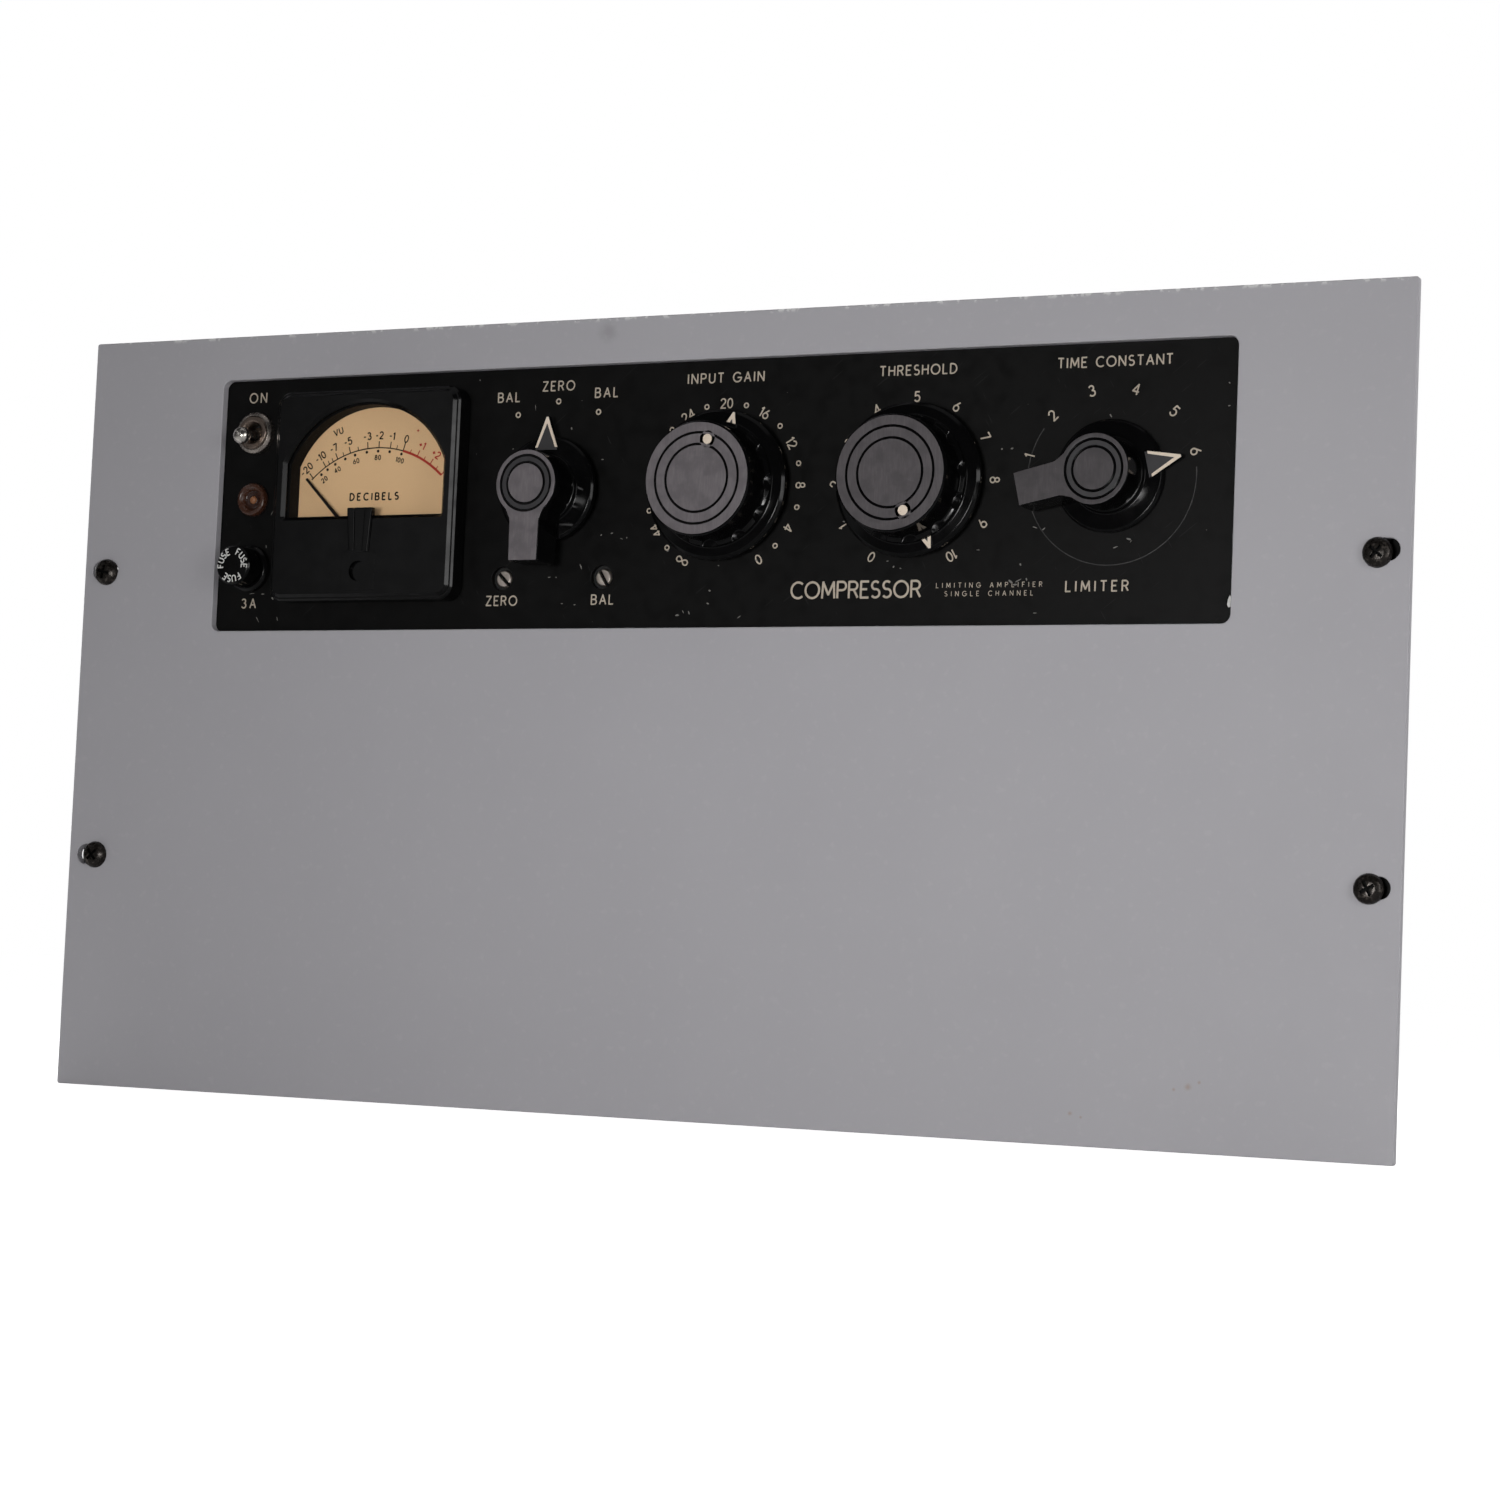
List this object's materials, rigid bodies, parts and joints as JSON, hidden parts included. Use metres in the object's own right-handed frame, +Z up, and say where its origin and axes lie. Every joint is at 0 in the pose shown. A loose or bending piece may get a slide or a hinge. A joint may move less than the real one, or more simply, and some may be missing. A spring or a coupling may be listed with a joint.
{
  "type": "rack compressor",
  "caption": "Valve limiting amplifier on a rack panel: recessed control plate with needle meter, pointer knobs, toggle, lamp and fuse; chassis tray with transformers and valves behind.",
  "frame": {"origin": "middle of the overall width and depth, at the height of the lowest faces", "axes": "+Z up, -Y out of the front panel towards the user, +X to the right seen from the front"},
  "size_m": [0.4826, 0.203, 0.2659],
  "materials": {
    "grey_enamel": "satin",
    "black_enamel": "satin",
    "black_oxide": "satin",
    "nickel": "polished",
    "amber_lens": "gloss",
    "clear_glass": "polished",
    "black_moulding": "gloss",
    "knob_moulding": "gloss",
    "dial_card": "matte",
    "needle_enamel": "satin",
    "bare_aluminium": "satin",
    "phenolic": "satin",
    "chassis_steel": "satin",
    "transformer_enamel": "satin",
    "valve_glass": "polished",
    "circuit_board": "matte"
  },
  "bodies": {
    "chassis": {"rack_panel": "grey_enamel", "rack_screw_upper_left": "black_oxide", "rack_screw_upper_right": "black_oxide", "rack_screw_lower_left": "black_oxide", "rack_screw_lower_right": "black_oxide", "control_plate": "black_enamel", "toggle_switch_body": "phenolic", "toggle_nut": "nickel", "pilot_lamp_lens": "amber_lens", "pilot_lamp_holder": "bare_aluminium", "pilot_lamp_bulb": "clear_glass", "fuse_holder_body": "black_moulding", "meter_case": "black_moulding", "meter_dial": "dial_card", "meter_glass": "clear_glass", "meter_movement": "bare_aluminium", "meter_selector_switch": "phenolic", "input_gain_attenuator": "bare_aluminium", "threshold_control": "bare_aluminium", "time_constant_switch": "phenolic", "zero_adjuster_control": "phenolic", "balance_adjuster_control": "phenolic", "chassis_tray": "chassis_steel", "rear_bracket_left": "chassis_steel", "rear_bracket_right": "chassis_steel", "power_transformer": "transformer_enamel", "filter_choke": "transformer_enamel", "sidechain_transformer": "transformer_enamel", "output_transformer": "transformer_enamel", "input_transformer": "transformer_enamel", "gain_valve_1": "valve_glass", "gain_valve_2": "valve_glass", "gain_valve_3": "valve_glass", "gain_valve_4": "valve_glass", "driver_valve": "valve_glass", "output_valve_1": "valve_glass", "output_valve_2": "valve_glass", "rectifier_valve": "valve_glass", "small_valve_socket_plate": "phenolic", "power_valve_socket_plate": "phenolic", "filter_capacitor_1": "bare_aluminium", "filter_capacitor_2": "bare_aluminium", "audio_terminal_strip": "black_moulding", "mains_inlet": "black_moulding", "component_board": "circuit_board"},
    "toggle_lever": {"toggle_lever": "nickel"},
    "fuse_carrier": {"fuse_link": "clear_glass"},
    "fuse_cap": {"fuse_cap": "black_moulding"},
    "meter_needle": {"meter_needle": "needle_enamel"},
    "meter_zero_screw": {"meter_zero_screw": "black_moulding"},
    "meter_selector": {"meter_selector_knob": "knob_moulding", "meter_selector_shaft": "nickel"},
    "input_gain": {"input_gain_knob": "knob_moulding", "input_gain_shaft": "nickel"},
    "threshold": {"threshold_knob": "knob_moulding", "threshold_shaft": "nickel"},
    "time_constant": {"time_constant_knob": "knob_moulding", "time_constant_shaft": "nickel"},
    "zero_adjuster": {"zero_adjuster_shaft": "nickel"},
    "balance_adjuster": {"balance_adjuster_shaft": "nickel"}
  },
  "joints": [
    {"name": "power_toggle", "type": "hinge", "parent": "chassis", "child": "toggle_lever", "pos_m": [-0.1729, -0.08013, 0.2316], "axis": [-1, 0, 0], "range_deg": [0, 22.6]},
    {"name": "fuse_withdraw", "type": "slide", "parent": "chassis", "child": "fuse_carrier", "axis": [0, -1, 0], "range_m": [0, 0.045]},
    {"name": "fuse_cap_turn", "type": "hinge", "parent": "fuse_carrier", "child": "fuse_cap", "pos_m": [-0.1729, -0.08612, 0.1836], "axis": [0, 1, 0], "range_deg": [-45, 0]},
    {"name": "meter_needle_swing", "type": "hinge", "parent": "chassis", "child": "meter_needle", "pos_m": [-0.1231, -0.08313, 0.1872], "axis": [0, 1, 0], "range_deg": [0, 89.4], "stiffness_Nm_per_rad": 0.0005},
    {"name": "meter_zero_turn", "type": "hinge", "parent": "chassis", "child": "meter_zero_screw", "pos_m": [-0.1231, -0.08612, 0.1811], "axis": [0, 1, 0], "range_deg": [-90, 90]},
    {"name": "meter_selector_turn", "type": "hinge", "parent": "chassis", "child": "meter_selector", "pos_m": [-0.0526, -0.09112, 0.2081], "axis": [0, 1, 0], "range_deg": [-30, 30]},
    {"name": "input_gain_turn", "type": "hinge", "parent": "chassis", "child": "input_gain", "pos_m": [0.0105, -0.09112, 0.2081], "axis": [0, 1, 0], "range_deg": [-165, 135]},
    {"name": "threshold_turn", "type": "hinge", "parent": "chassis", "child": "threshold", "pos_m": [0.0784, -0.09112, 0.2081], "axis": [0, 1, 0], "range_deg": [-300, 0]},
    {"name": "time_constant_turn", "type": "hinge", "parent": "chassis", "child": "time_constant", "pos_m": [0.1449, -0.09112, 0.2081], "axis": [0, 1, 0], "range_deg": [-150, 0]},
    {"name": "zero_adjust_turn", "type": "hinge", "parent": "chassis", "child": "zero_adjuster", "pos_m": [-0.0713, -0.07612, 0.1789], "axis": [0, 1, 0], "range_deg": [-150, 150]},
    {"name": "balance_adjust_turn", "type": "hinge", "parent": "chassis", "child": "balance_adjuster", "pos_m": [-0.0332, -0.07612, 0.1789], "axis": [0, 1, 0], "range_deg": [-150, 150]}
  ]
}
